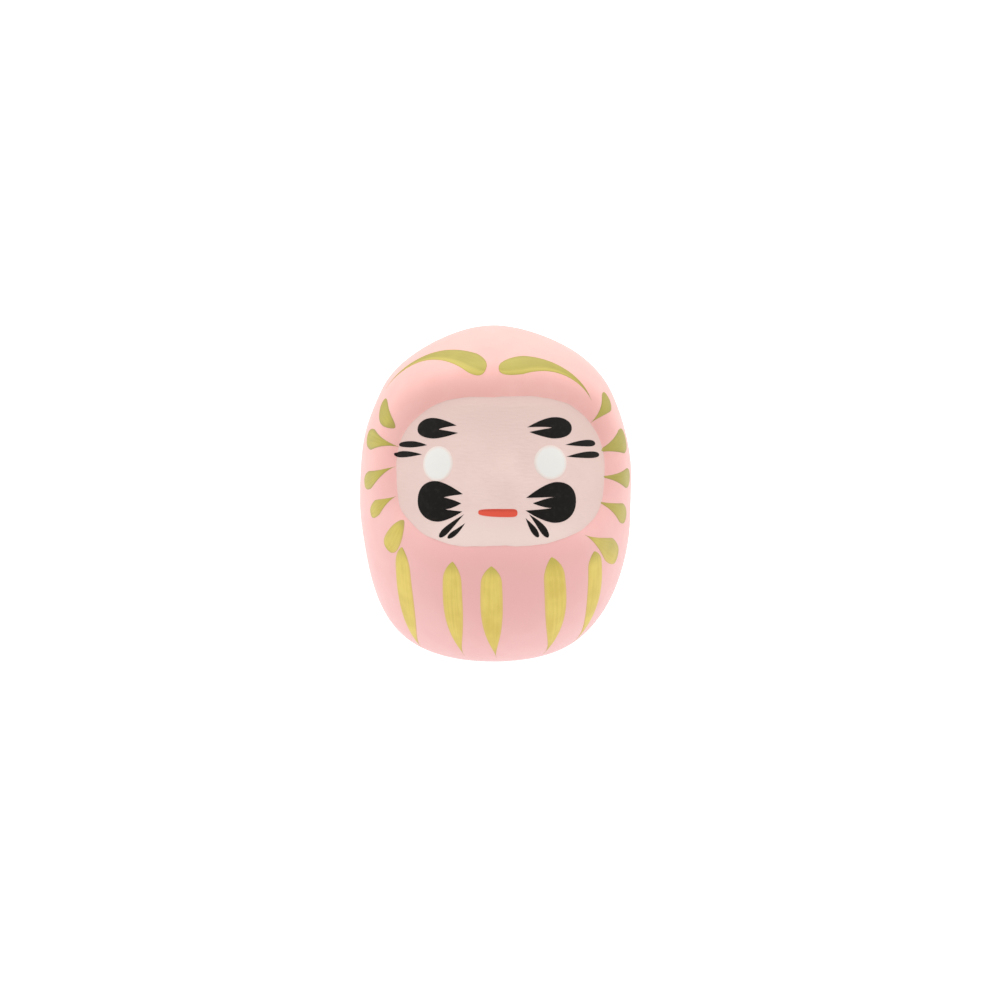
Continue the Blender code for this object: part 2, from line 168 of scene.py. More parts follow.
class Wire:
    """A socket in a material. Arithmetic on it adds Math nodes, and make adds any other node."""

    def __init__(self, socket):
        self.socket = socket
        self.tree = socket.id_data

    def make(self, kind, settings, inputs, out=0):
        """Adds a node: its settings first, then its inputs' values or wires. Gives the named output."""
        node = self.tree.nodes.new(kind)
        for name, value in settings.items():
            setattr(node, name, value)
        for name, value in inputs.items():
            if isinstance(value, Wire):
                self.tree.links.new(value.socket, node.inputs[name])
            else:
                node.inputs[name].default_value = value
        return Wire(node.outputs[out])

    def maths(self, operation, first, second):
        """Two values or wires, joined by the operation."""
        return self.make("ShaderNodeMath", {"operation": operation}, {0: first, 1: second})

    def alone(self, operation):
        """An operation that takes this wire only."""
        return self.make("ShaderNodeMath", {"operation": operation}, {0: self})

    def __add__(self, other):
        return self.maths('ADD', self, other)

    def __radd__(self, other):
        return self.maths('ADD', other, self)

    def __rsub__(self, other):
        return self.maths('SUBTRACT', other, self)

    def __mul__(self, other):
        return self.maths('MULTIPLY', self, other)

    def __pow__(self, other):
        return self.maths('POWER', self, other)

    def between(self, low, high):
        """Rises smoothly from 0 at low to 1 at high."""
        return self.make("ShaderNodeMapRange", {"interpolation_type": 'SMOOTHSTEP'},
                         {"Value": self, "From Min": low, "From Max": high})

    def blend(self, under, over):
        """The colour over where this mask is 1, and under where it is 0."""
        return self.make("ShaderNodeMix", {"data_type": 'RGBA'},
                         {MIX_FACTOR: self, MIX_UNDER: under, MIX_OVER: over}, MIX_COLOUR)

    def noise(self, scale, detail, roughness=0.5):
        """Cloudy noise between 0 and 1 over this vector."""
        return self.make("ShaderNodeTexNoise", {"noise_dimensions": '3D'},
                         {"Vector": self, "Scale": scale, "Detail": detail, "Roughness": roughness})

    def stretched(self, scale):
        """This vector, each part times its own scale."""
        return self.make("ShaderNodeMapping", {}, {"Vector": self, "Scale": scale})

    def axis(self, letter):
        """One part of this vector."""
        return self.make("ShaderNodeSeparateXYZ", {}, {"Vector": self}, letter)

    def brush(self):
        """The piece's own coordinates, along the pull of the brush and across it."""
        return self.make("ShaderNodeUVMap", {"uv_map": BRUSH_UV}, {})


def new_finish(name, **constants):
    """An empty material, its shader with the constant values set, and a wire to Object coordinates."""
    finish = bpy.data.materials.new(name)
    finish.use_nodes = True
    tree = finish.node_tree
    tree.nodes.clear()
    shader = tree.nodes.new("ShaderNodeBsdfPrincipled")
    output = tree.nodes.new("ShaderNodeOutputMaterial")
    tree.links.new(shader.outputs["BSDF"], output.inputs["Surface"])
    for socket, value in constants.items():
        shader.inputs[socket.replace("_", " ")].default_value = value
    place = tree.nodes.new("ShaderNodeTexCoord").outputs["Object"]
    return finish, shader, Wire(place)


def feed(shader, colour, roughness, height, depth):
    """Links a finish's colour and roughness, and its relief, as a bump of that depth in metres."""
    tree = shader.id_data
    tree.links.new(colour.socket, shader.inputs["Base Color"])
    tree.links.new(roughness.socket, shader.inputs["Roughness"])
    bump = height.make("ShaderNodeBump", {}, {"Strength": 1.0, "Distance": depth, "Height": height})
    tree.links.new(bump.socket, shader.inputs["Normal"])


def pink_coat(place):
    """Colour and relief of the chalky pink coat.

    The colour is two tones mixed by clouds and daubs, deeper rose on the front of the belly, partly as a
    rosier coat and partly as painted shade, times a glaze that is warmer towards the crown. The relief
    is the daubs and a fine grain.
    """
    daubs = place.noise(*COAT_DAUBS)
    tone = place.noise(*COAT_CLOUDS) * CLOUD_SHARE + daubs * DAUB_SHARE
    colour = tone.between(*COAT_TONES).blend(PINK, PALE_PINK)
    height, front = place.axis("Z"), 0 - place.axis("Y")
    # Partly a rosier coat and partly painted shade: the front of the belly is painted a deeper rose.
    rose_and_shade = height.between(*BELLY_SHADE_TOP) * height.between(*BELLY_SHADE_BOTTOM) * front.between(*BELLY_SHADE_FRONT)
    rose_and_shade_colour = (rose_and_shade * BELLY_SHADE_STRENGTH).blend(colour, SHADED_ROSE)
    glaze = height.between(0, BODY_HEIGHT * MM).blend(COOL_GLAZE, WARM_GLAZE)
    glazed = glaze.make("ShaderNodeMix", {"data_type": 'RGBA', "blend_type": 'MULTIPLY'},
                        {MIX_FACTOR: 1.0, MIX_UNDER: rose_and_shade_colour, MIX_OVER: glaze}, MIX_COLOUR)
    return glazed, daubs * DAUB_RELIEF + place.noise(*COAT_GRAIN) * GRAIN_RELIEF


drop_share = ((BELLY_HEIGHT - OPENING_HEIGHT) / BOTTOM_REACH) ** BOTTOM_FULLNESS
seat_radius = BODY_RADIUS * (1 - drop_share) ** (1 / BOTTOM_FULLNESS)
foot_latitude = -np.degrees(np.arctan2(BELLY_HEIGHT, FOOT_RADIUS))
seat_latitude = -np.degrees(np.arctan2(BELLY_HEIGHT - OPENING_HEIGHT, seat_radius))
skirt_turn, skirt_latitude = np.meshgrid(
    np.linspace(0, 360, ROUND_STEPS, endpoint=False), np.linspace(foot_latitude, seat_latitude, SKIRT_ROWS))
skirt_directions = direction_at(skirt_turn, skirt_latitude)
skirt_reach = outline_reach(skirt_directions)
skirt = skirt_directions * skirt_reach[..., None] + (0, 0, BELLY_HEIGHT)
skirt[..., 2] = np.clip(skirt[..., 2], 0, None)
foot = np.linspace(0, 1, FOOT_RINGS, endpoint=False)[:, None, None] * (skirt[0] * (1, 1, 0))
seat = skirt_directions[-1] * (skirt_reach[-1] - WALL)[:, None] + (0, 0, BELLY_HEIGHT)
plug = seat * (PLUG_EASE, PLUG_EASE, 1)
plug_top = np.array([plug * (1, 1, 0) + (0, 0, PLUG_HEIGHT - PLUG_CHAMFER),
                     plug * (PLUG_TOP, PLUG_TOP, 0) + (0, 0, PLUG_HEIGHT),
                     np.tile((0, 0, PLUG_HEIGHT), (ROUND_STEPS, 1))])
weight_rows = np.concatenate([foot, skirt, plug[None], plug_top])

clay_finish, clay_shader, clay_place = new_finish("painted_clay", **CHALK)
clay_grit = clay_place.noise(*CLAY_GRIT)
clay_colour = clay_grit.between(*CLAY_TONES).blend(DARK_CLAY, CLAY)
foot_line = clay_place.axis("Z") + clay_place.noise(*FOOT_WAVER) * FOOT_WAVER_HEIGHT
coated = foot_line.between(*FOOT_LINE)
coat_colour, coat_relief = pink_coat(clay_place)
feed(clay_shader, coated.blend(clay_colour, coat_colour), CLAY_ROUGHNESS - coated * COAT_SMOOTHER,
     coated * coat_relief + (1 - coated) * clay_grit, COAT_RELIEF)

clay_weight = closed_piece("clay_weight", weight_rows)
clay_weight.data.materials.append(clay_finish)
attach(clay_weight, "root")
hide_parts("base_weight")

# The shell: two halves of paper pulp pressed over a mould and glued together edge to edge, then primed
# and brushed with a chalky pink coat that hides the joint. The front half has the sunken face and hood.
FACE_LATITUDE = np.radians(15)
FACE_WIDTH = 79.0
FACE_HEIGHT = 48.0
FACE_SQUARENESS = 2.9
# Each cut: its turn round the face, how far out it goes, and its spread.
FACE_CUTS = [(42, 0.4, 15), (95, -1.4, 24), (208, -0.8, 7), (236, 0.7, 16), (326, -1.5, 18)]
HOOD_DEPTH = 4.6
CHIN_DEPTH = 2.4
LIP_WIDTH = 10.0
LIP_POWER = 3.0
NOSE_PROUD = 1.2
NOSE_DROP = 3.0
NOSE_HALF_WIDTH = 4.0
NOSE_HALF_LENGTH = 6.0
FACE_AXIS = np.array([0, -np.cos(FACE_LATITUDE), np.sin(FACE_LATITUDE)])
FACE_UP = np.array([0, np.sin(FACE_LATITUDE), np.cos(FACE_LATITUDE)])
FACE_SIDE = np.array([1.0, 0, 0])
BACK_AXIS = np.array([0, 1.0, 0])
BACK_UP = np.array([0, 0, 1.0])
BACK_SIDE = np.array([-1.0, 0, 0])
OVER_TURNS = 250
UNDER_TURNS = 110
FACE_RINGS = 14
LIP_RINGS = 22
FRONT_RINGS = 44
BACK_RINGS = 70
COAT_ROUGHNESS = 0.62
COAT_POLISH = 0.06


def face_edge(turn):
    """Angle from the face's axis to its edge: a superellipse of the face's width and height.

    Where the hand has cut it in or out, a bell curve of the turn is added.
    """
    across = np.abs(np.cos(turn)) / (FACE_WIDTH / 2 / BODY_RADIUS)
    up = np.abs(np.sin(turn)) / (FACE_HEIGHT / 2 / BODY_RADIUS)
    edge = (across ** FACE_SQUARENESS + up ** FACE_SQUARENESS) ** (-1 / FACE_SQUARENESS)
    cut = sum(out * np.exp((np.cos(turn - np.radians(place)) - 1) * 2 / np.radians(spread) ** 2)
              for place, out, spread in FACE_CUTS)
    return edge + cut / BODY_RADIUS


def lip_edge(turn):
    """Angle from the face's axis to where the lip has died away: the face's edge plus the lip's width."""
    return face_edge(turn) + LIP_WIDTH / BODY_RADIUS


def body_reach(directions):
    """Distance from the belly's centre to the skin in each direction.

    It is the outline's reach, less the face's sink, plus the nose. The sink grows evenly from the chin
    to the hood, and beyond the face's edge it dies away over the lip as (1 - share of the lip) to a
    power. The nose is a bell curve.
    """
    angle = np.arccos(np.clip(directions @ FACE_AXIS, -1, 1))
    turn = np.arctan2(directions @ FACE_UP, directions @ FACE_SIDE)
    edge = face_edge(turn)
    height = np.minimum(angle, edge) * np.sin(turn) / (FACE_HEIGHT / 2 / BODY_RADIUS)
    depth = CHIN_DEPTH + (HOOD_DEPTH - CHIN_DEPTH) * (np.clip(height, -1, 1) + 1) / 2
    beyond = np.clip((angle - edge) * BODY_RADIUS / LIP_WIDTH, 0, 1)
    across = angle * np.cos(turn) * BODY_RADIUS / NOSE_HALF_WIDTH
    along = (angle * np.sin(turn) * BODY_RADIUS + NOSE_DROP) / NOSE_HALF_LENGTH
    nose = NOSE_PROUD * np.exp(-across ** 2 - along ** 2)
    return outline_reach(directions) - depth * (1 - beyond) ** LIP_POWER + nose


def on_body(directions, lift=0.0):
    """Points that stand a lift above the skin, along the ray from the belly's centre."""
    reach = body_reach(directions) + lift
    return np.array([0, 0, BELLY_HEIGHT]) + directions * reach[..., None]


def half_shell(axis, up, side, bands):
    """Rings of one half of the shell, out from its axis to its rim, and back along the inside of the wall.

    A direction is axis * cos(angle) + (side * cos(turn) + up * sin(turn)) * sin(angle). A turn ends
    where it meets the joint's plane, y = 0, or the opening's level, whichever comes first, and two
    of the turns pass through the corners between those. The bands give the angles between which
    the rings are spread, and how many there are.
    """
    rise = np.sin(np.radians(seat_latitude))
    corner = np.arctan2(rise * up[2], np.cos(np.radians(seat_latitude)))
    turn = np.concatenate([
        np.linspace(corner, np.pi - corner, OVER_TURNS, endpoint=False),
        np.linspace(np.pi - corner, 2 * np.pi + corner, UNDER_TURNS, endpoint=False)])
    joint = np.arctan2(abs(axis[1]), -np.sign(axis[1]) * up[1] * np.sin(turn))
    swing = np.hypot(axis[2], up[2] * np.sin(turn))
    lean = np.arctan2(up[2] * np.sin(turn), axis[2])
    opening = lean + np.arccos(np.clip(rise / swing, -1, 1))
    rim = np.where((np.sin(turn) < 0) & (swing >= -rise), np.minimum(joint, opening), joint)
    limits = [np.zeros(len(turn)), *[band(turn) for band, _ in bands[:-1]], rim]
    angle = np.concatenate([
        low + (high - low) * np.linspace(0, 1, count, endpoint=False)[:, None]
        for low, high, (_, count) in zip(limits, limits[1:], bands)] + [rim[None]])
    spoke = np.cos(turn)[:, None] * side + np.sin(turn)[:, None] * up
    directions = np.cos(angle)[..., None] * axis + np.sin(angle)[..., None] * spoke
    return np.concatenate([on_body(directions), on_body(directions[::-1], -WALL)])


pink_finish, pink_shader, pink_place = new_finish("pink_chalk_coat", **CHALK)
pink_colour, pink_relief = pink_coat(pink_place)
feed(pink_shader, pink_colour, COAT_ROUGHNESS - pink_relief * COAT_POLISH, pink_relief, COAT_RELIEF)

front_half = closed_piece("front_half", half_shell(FACE_AXIS, FACE_UP, FACE_SIDE, [
    (face_edge, FACE_RINGS), (lip_edge, LIP_RINGS), (None, FRONT_RINGS)]))
back_half = closed_piece("back_half", half_shell(BACK_AXIS, BACK_UP, BACK_SIDE, [(None, BACK_RINGS)]))
for half, node in ((front_half, "front_shell"), (back_half, "back_shell")):
    half.data.materials.append(pink_finish)
    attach(half, "root")
    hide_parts(node)

# The collar: a strip of grey pulp board glued inside the joint, over the top from one side to the other.
# It is hidden in the closed shell, so the solid keeps its shape and only gets its board finish.
BOARD = (0.42, 0.36, 0.29, 1)
BOARD_FLECK = (0.60, 0.54, 0.45, 1)
BOARD_FIBRE = (1400, 4, 0.7)
BOARD_TONES = (0.4, 0.7)
BOARD_ROUGHNESS = 0.85
FIBRE_ROUGHER = 0.1
BOARD_RELIEF = 0.0001

board_finish, board_shader, board_place = new_finish("pulp_board")
board_fibre = board_place.noise(*BOARD_FIBRE)
feed(board_shader, board_fibre.between(*BOARD_TONES).blend(BOARD, BOARD_FLECK),
     BOARD_ROUGHNESS + board_fibre * FIBRE_ROUGHER, board_fibre, BOARD_RELIEF)
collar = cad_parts["seam_collar"]
collar.data.materials.clear()
collar.data.materials.append(board_finish)

# The face: one even coat of warm cream, brushed over the sunken panel up to the foot of the lip. Its
# edge wanders a little, because it is cut in by hand. Under the hood and towards the sides the cream is
# painted darker, as painted shade, and low on the face it is painted lighter, as painted light.
CREAM = (0.790, 0.592, 0.545, 1)
PALE_CREAM = (0.835, 0.641, 0.590, 1)
# Painted shade: the darker cream under the hood and towards the sides. Painted light: the lighter cream low
# on the face.
SHADED_CREAM = (0.695, 0.520, 0.474, 1)
LIT_CREAM = (0.850, 0.675, 0.618, 1)
COAT_LIFT = 0.07
SUNK = 0.06
FACE_STEPS = 400
COAT_RINGS = 60
# Each wander of the edge: how far, how often round the face, and its phase.
COAT_WANDERS = [(0.08, 9, 0.6), (0.06, 17, 0), (0.04, 31, 2)]
COAT_SHORT = 0.1
CREAM_GLOSS = {"Specular_IOR_Level": 0.2, "Sheen_Weight": 0.06, "Sheen_Roughness": 0.5}
CREAM_CLOUDS = (90, 2)
CREAM_BRUSH = (420, 3)
CREAM_BRUSH_STRETCH = (1, 1, 4)
CREAM_CLOUD_SHARE, CREAM_BRUSH_SHARE = 0.6, 0.4
CREAM_TONES = (0.3, 0.7)
# Heights and sides where the cream is painted darker as painted shade, and the height below which it is
# painted lighter as painted light.
CREAM_SHADE_HEIGHT = (0.058, 0.080)
CREAM_SHADE_SIDE = (0.014, 0.030)
CREAM_SIDE_SHADE = 0.6
CREAM_LIT_HEIGHT = (0.053, 0.041)
CREAM_ROUGHNESS = 0.6
CREAM_POLISH = 0.08
CREAM_RELIEF = 0.0001

face_turn = np.linspace(0, 2 * np.pi, FACE_STEPS, endpoint=False)
coat_wander = sum(out * np.sin(often * face_turn + phase) for out, often, phase in COAT_WANDERS)
coat_edge = face_edge(face_turn) + (coat_wander - COAT_SHORT) / BODY_RADIUS


def face_film(lift, edge, rings):
    """A thin closed coat on the face: rings from the axis to the edge on top, and back underneath.

    The rings crowd towards the edge as 1 - (1 - share) ** 2, and the coat is rounded off over the
    outermost ring by the root of what is left of the share.
    """
    inner = 1 - (1 - np.linspace(0, 1, rings)) ** 2
    share = np.concatenate([inner, inner[-2::-1]])
    rounding = np.sqrt(np.clip((1 - share) * rings, 0, 1))
    height = np.where(np.arange(len(share)) < rings, lift, -SUNK) * rounding
    angle = share[:, None] * edge
    spoke = np.cos(face_turn)[:, None] * FACE_SIDE + np.sin(face_turn)[:, None] * FACE_UP
    directions = np.cos(angle)[..., None] * FACE_AXIS + np.sin(angle)[..., None] * spoke
    return on_body(directions, height[:, None])


cream_finish, cream_shader, cream_place = new_finish("cream_face_coat", **CREAM_GLOSS)
cream_height = cream_place.axis("Z")
cream_brush = cream_place.stretched(CREAM_BRUSH_STRETCH).noise(*CREAM_BRUSH)
cream_tone = cream_place.noise(*CREAM_CLOUDS) * CREAM_CLOUD_SHARE + cream_brush * CREAM_BRUSH_SHARE
cream_body = cream_tone.between(*CREAM_TONES).blend(CREAM, PALE_CREAM)
# Painted light low on the face, and painted shade under the hood and towards the sides.
cream_lit_low = cream_height.between(*CREAM_LIT_HEIGHT).blend(cream_body, LIT_CREAM)
cream_side_shade = cream_place.axis("X").alone('ABSOLUTE').between(*CREAM_SHADE_SIDE)
cream_shade = cream_height.between(*CREAM_SHADE_HEIGHT) + cream_side_shade * CREAM_SIDE_SHADE
feed(cream_shader, cream_shade.blend(cream_lit_low, SHADED_CREAM), CREAM_ROUGHNESS - cream_brush * CREAM_POLISH,
     cream_brush, CREAM_RELIEF)

face_paint = closed_piece("face_paint", face_film(COAT_LIFT, coat_edge, COAT_RINGS))
face_paint.data.materials.append(cream_finish)
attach(face_paint, "root")
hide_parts("face_coat")

# The eyes: two blank discs of thick white, left without pupils, as a new doll has them. The brush leaves
# the white thin at the rim, so the cream shows through there.
EYE_WHITE = (0.800, 0.785, 0.750, 1)
EYE_THIN = (0.80, 0.69, 0.635, 1)
MARK_PROUD = 0.12
SECTION_STEPS = 28
EYE_ROWS = 48
EYE_FLATNESS = 0.4
PAINT_GLOSS = 0.2
EYE_DABS = (500, 3)
EYE_RIM_WAVER = 0.08
EYE_RIM = (0.82, 1.04)
EYE_ROUGHNESS = 0.5
DAB_ROUGHER = 0.1
MARK_RELIEF = 0.00006
round_section = np.linspace(0, 2 * np.pi, SECTION_STEPS, endpoint=False)


def film(longitude, latitude, across, up, half_across, half_up, under, proud, flatness):
    """A closed film of paint on the skin: lens-shaped rings, one for each point of a middle line.

    The middle line and the half widths are in millimetres east and north of the anchor, on the plane
    that touches the body there, and are thrown out onto the skin along rays from the belly's centre.
    A ring is middle + half width * cos(section); its top stands proud * sin(section) ** flatness above
    the coat under it, and its bottom is sunk below the skin.
    """
    anchor = direction_at(longitude, latitude)
    east = direction_at(longitude + 90, 0)
    north = np.cross(anchor, east)
    x = across[:, None] + np.outer(half_across, np.cos(round_section))
    y = up[:, None] + np.outer(half_up, np.cos(round_section))
    rays = anchor * body_reach(anchor) + x[..., None] * east + y[..., None] * north
    directions = rays / np.linalg.norm(rays, axis=-1, keepdims=True)
    swell = np.abs(np.sin(round_section)) ** flatness
    top = under + np.outer(proud, swell)
    bottom = under - (under + SUNK) * swell
    return on_body(directions, np.where(np.sin(round_section) >= 0, top, bottom))


eye_finish, eye_shader, eye_place = new_finish("thick_white", Specular_IOR_Level=PAINT_GLOSS)
eye_brush = eye_place.brush()
eye_out = eye_brush.make("ShaderNodeVectorMath", {"operation": 'LENGTH'}, {0: eye_brush}, "Value")
eye_dab = eye_place.noise(*EYE_DABS)
eye_rim = (eye_out + eye_dab * EYE_RIM_WAVER).between(*EYE_RIM)
feed(eye_shader, eye_rim.blend(EYE_WHITE, EYE_THIN), EYE_ROUGHNESS + eye_dab * DAB_ROUGHER,
     eye_dab, MARK_RELIEF)

eye_down = np.linspace(0, np.pi, EYE_ROWS)
eye_across = np.outer(np.sin(eye_down), np.cos(round_section))
eye_uv = np.stack(np.broadcast_arrays(eye_across, np.cos(eye_down)[:, None]), axis=-1)
straight = np.zeros(EYE_ROWS)
for name, node, longitude, latitude, width, height in (
        ("eye_left", "left_eye", -31.7, 16.0, 9.9, 10.3),
        ("eye_right", "right_eye", 22.0, 17.4, 10.6, 10.0)):
    eye = closed_piece(name, film(
        longitude, latitude, straight, np.cos(eye_down) * height / 2, np.sin(eye_down) * width / 2, straight,
        COAT_LIFT, np.full(EYE_ROWS, MARK_PROUD), EYE_FLATNESS), eye_uv)
    eye.data.materials.append(eye_finish)
    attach(eye, "root")
    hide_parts(node)

# The brows and the beard: solid patches of black ink, round towards the ears and slit with the brush
# into prongs towards the nose, two prongs for a brow and three for each half of the beard.
INK = (0.010, 0.009, 0.008, 1)
WORN_INK = (0.020, 0.017, 0.015, 1)
PATCH_ROUND = 2.2
PATCH_BEND = 1.6
SLIT_BEND = 0.75
PATCH_ROWS = 16
PATCH_FLATNESS = 0.3
INK_GLOSS = 0.08
INK_DRY = (700, 4, 0.6)
INK_TONES = (0.45, 0.8)
INK_ROUGHNESS = 0.5
INK_ROUGHER = 0.15


def notched_patch(side, left, top, prongs, bottom):
    """Rows of a patch, from top to bottom: the middle and the half length of each row, in millimetres.

    The round end is two quarters of a superellipse, from the top over the leftmost point to the bottom.
    At the other end tips and notches take turns. Each edge of a prong runs from the top, a notch or the
    bottom to the tip as a power of its share: it leaves level and bends, but the outer prongs' edges
    in the slits leave steeply and run out level. Side -1 mirrors the patch.
    """
    top, bottom = np.array(top), np.array(bottom)
    tips = np.array(prongs[::2])
    roots = np.array([top, *prongs[1::2], bottom])
    share = np.linspace(0, 1, PATCH_ROWS)[:, None]
    bend = np.concatenate([share, share ** PATCH_BEND], axis=1)
    slit = np.concatenate([share, share ** SLIT_BEND], axis=1)
    over = [bend] * (len(tips) - 1) + [slit]
    edges = [(root + (tip - root) * leave, (below + (tip - below) * meet)[::-1])
             for root, tip, below, leave, meet in zip(roots, tips, roots[1:], over, over[::-1])]
    right, up = np.concatenate([[top], *[edge[1:] for prong in edges for edge in prong]]).T
    end = np.where((up > left[1])[:, None], top, bottom)
    drop = np.abs((up - left[1]) / (end[:, 1] - left[1]))
    round_end = end[:, 0] + (left[0] - end[:, 0]) * (1 - drop ** PATCH_ROUND) ** (1 / PATCH_ROUND)
    return side * (right + round_end) / 2, up, (right - round_end) / 2


ink_finish, ink_shader, ink_place = new_finish("brush_ink", Specular_IOR_Level=INK_GLOSS)
ink_dry = ink_place.noise(*INK_DRY)
feed(ink_shader, ink_dry.between(*INK_TONES).blend(INK, WORN_INK), INK_ROUGHNESS + ink_dry * INK_ROUGHER,
     ink_dry, MARK_RELIEF)

# Each patch: longitude, latitude, side, leftmost point, top, tips and notches in turn, and bottom.
for name, node, longitude, latitude, side, left, top, prongs, bottom in (
        ("brow_left", "left_brow", -34.7, 31.3, 1, (-7.5, 0), (-2, 3),
         [(6, 1.5), (0.5, -0.3), (7, -0.6)], (-1, -3.2)),
        ("brow_right", "right_brow", 24.7, 32.3, -1, (-7.5, 0.5), (-1.5, 3.2),
         [(7.7, 0.9), (-0.2, 0.1), (7.4, -0.6)], (-0.5, -3.2)),
        ("beard_left", "left_beard", -30.3, -0.4, 1, (-7, 0), (-0.5, 5.9),
         [(8, 2.6), (2, 1.2), (7.6, -0.2), (2.5, -2.2), (8, -2.6)], (0, -6)),
        ("beard_right", "right_beard", 23.0, -0.2, -1, (-7.8, 0), (-0.5, 6),
         [(9.1, 1.7), (-0.6, 1.6), (7, 0), (0.8, -1.6), (9.3, -2.1)], (-0.5, -6))):
    across, up, half_length = notched_patch(side, left, top, prongs, bottom)
    patch = closed_piece(name, film(
        longitude, latitude, across, up, half_length, np.zeros(len(up)), COAT_LIFT,
        MARK_PROUD * np.clip(half_length, 0, 1), PATCH_FLATNESS))
    patch.data.materials.append(ink_finish)
    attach(patch, "root")
    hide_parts(node)

# The temple strokes and whiskers: single pulls of a fine brush with the same ink, fat where the brush is
# set down and pointed where it leaves.
STATIONS = 81
LEAN = 1.1
HAIR = 0.04
STROKE_FLATNESS = 0.45
SHARE_KEPT = 0.99
TEMPLE_MANNER = (0.4, 1.8, 1.0)
WHISKER_MANNER = (0.5, 1.4, 1.0)


def brush_stroke(under, proud, manner, longitude, latitude, length, turn, width, widest, bow):
    """Film of one pull of the brush, and its own coordinates: along from a whole number, and across.

    The chord from its root to its tip is centred on the anchor and turned anticlockwise from east. The
    middle line bows off it by a sine. The width grows from the root to the share of the length where
    it is widest, as (1 - (1 - share) ** 2) ** blunt, and thins out from there to the tip, as
    (1 - share ** full) ** tail, but no thinner than a hair. The manner of the brush is its blunt,
    full and tail.
    """
    blunt, full, tail = manner
    share = (1 - np.cos(np.linspace(0, np.pi, STATIONS))) / 2
    grown = (1 - (1 - np.clip(share / widest, 0, 1)) ** 2) ** blunt
    thinned = (1 - np.clip((share - widest) / (1 - widest), 0, 1) ** full) ** tail
    half = width / 2 * grown * thinned
    half[1:-1] = np.maximum(half[1:-1], HAIR)
    middle = bow * np.sin(np.pi * share ** LEAN)
    along = (share - 0.5) * length
    cos_turn, sin_turn = np.cos(np.radians(turn)), np.sin(np.radians(turn))
    rows = film(longitude, latitude,
                along * cos_turn - middle * sin_turn, along * sin_turn + middle * cos_turn,
                -sin_turn * half, cos_turn * half,
                under, proud * np.sqrt(np.clip(half, 0, 1)), STROKE_FLATNESS)
    upward = np.cos(round_section) / 2 * np.sign(cos_turn)
    along_uv = share * SHARE_KEPT + round(longitude)
    return rows, np.stack(np.broadcast_arrays(along_uv[:, None], upward), axis=-1)


# Each pull: longitude, latitude, length, turn, width, the share where it is widest, and bow.
for name, node, manner, *pull in (
        ("temple_left_upper", "left_upper_temple_stroke", TEMPLE_MANNER, -48.2, 23.2, 12, 4.5, 1.9, 0.47, 0),
        ("temple_left_lower", "left_lower_temple_stroke", TEMPLE_MANNER, -49.7, 18.7, 11.5, 6, 1.9, 0.3, 0),
        ("temple_right_upper", "right_upper_temple_stroke", TEMPLE_MANNER, 41.5, 24.7, 13, 178, 2, 0.25, 0),
        ("temple_right_lower", "right_lower_temple_stroke", TEMPLE_MANNER, 42, 19.5, 14.5, 178, 2, 0.3, 0),
        ("whisker_left_outer", "left_outer_whisker", WHISKER_MANNER, -23.3, -10.6, 10.3, 43, 1.9, 0.25, 0.1),
        ("whisker_left_inner", "left_inner_whisker", WHISKER_MANNER, -21, -12.5, 7, 41, 1.5, 0.3, -0.2),
        ("whisker_right_outer", "right_outer_whisker", WHISKER_MANNER, 15.5, -10, 9.2, 132, 2.1, 0.3, -0.3),
        ("whisker_right_inner", "right_inner_whisker", WHISKER_MANNER, 12.4, -10.7, 6.9, 126, 1.8, 0.35, 0)):
    rows, uv = brush_stroke(COAT_LIFT, MARK_PROUD, manner, *pull)
    line = closed_piece(name, rows, uv)
    line.data.materials.append(ink_finish)
    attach(line, "root")
    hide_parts(node)

# The mouth: one short bar of vermilion, blunt at both ends, deeper along its upper edge where the
# paint has drawn up.
VERMILION = (0.76, 0.095, 0.055, 1)
DEEP_VERMILION = (0.62, 0.070, 0.040, 1)
MOUTH_MANNER = (0.25, 6.0, 0.4)
MOUTH_PULL = (-2.8, -4.3, 11.6, 0, 2.4, 0.7, 0)
RED_DABS = (600, 3)
RED_WAVER = 0.15
RED_DEEP_EDGE = (0.1, 0.5)
RED_ROUGHNESS = 0.45

red_finish, red_shader, red_place = new_finish("vermilion", Specular_IOR_Level=PAINT_GLOSS)
red_dab = red_place.noise(*RED_DABS)
red_deep = (red_place.brush().axis("Y") + red_dab * RED_WAVER).between(*RED_DEEP_EDGE)
feed(red_shader, red_deep.blend(VERMILION, DEEP_VERMILION), RED_ROUGHNESS + red_dab * DAB_ROUGHER,
     red_dab, MARK_RELIEF)

rows, uv = brush_stroke(COAT_LIFT, MARK_PROUD, MOUTH_MANNER, *MOUTH_PULL)
mouth_bar = closed_piece("mouth_bar", rows, uv)
mouth_bar.data.materials.append(red_finish)
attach(mouth_bar, "root")
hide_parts("mouth")

# The gold strokes: gold powder in clear size, brushed over the pink. Two long ones lie on the hood like
# brows, five short ones fan out on each side of the face, and five stand on the belly. The gold is duller
# where the brush is set down, thin along the edges, and darkest where the brush leaves. Light is painted
# into the colour as well: the gold is painted bright low on the belly and duller higher up, as painted
# reflection and shade, and darker still on the hood strokes, as painted shade, with a painted glint
# along their lower edge. The strokes on the right-hand side are darker.
GOLD_PROUD = 0.16
HOOD_MANNER = (0.4, 1.0, 1.3)
SIDE_MANNER = (0.28, 1.2, 1.4)
ROUND_MANNER = (0.35, 2.0, 0.6)
BELLY_MANNER = (0.8, 3.2, 2.7)
GOLD = (0.655, 0.497, 0.095, 1)
BRIGHT_GOLD = (0.755, 0.592, 0.135, 1)
THIN_GOLD = (0.70, 0.50, 0.15, 1)
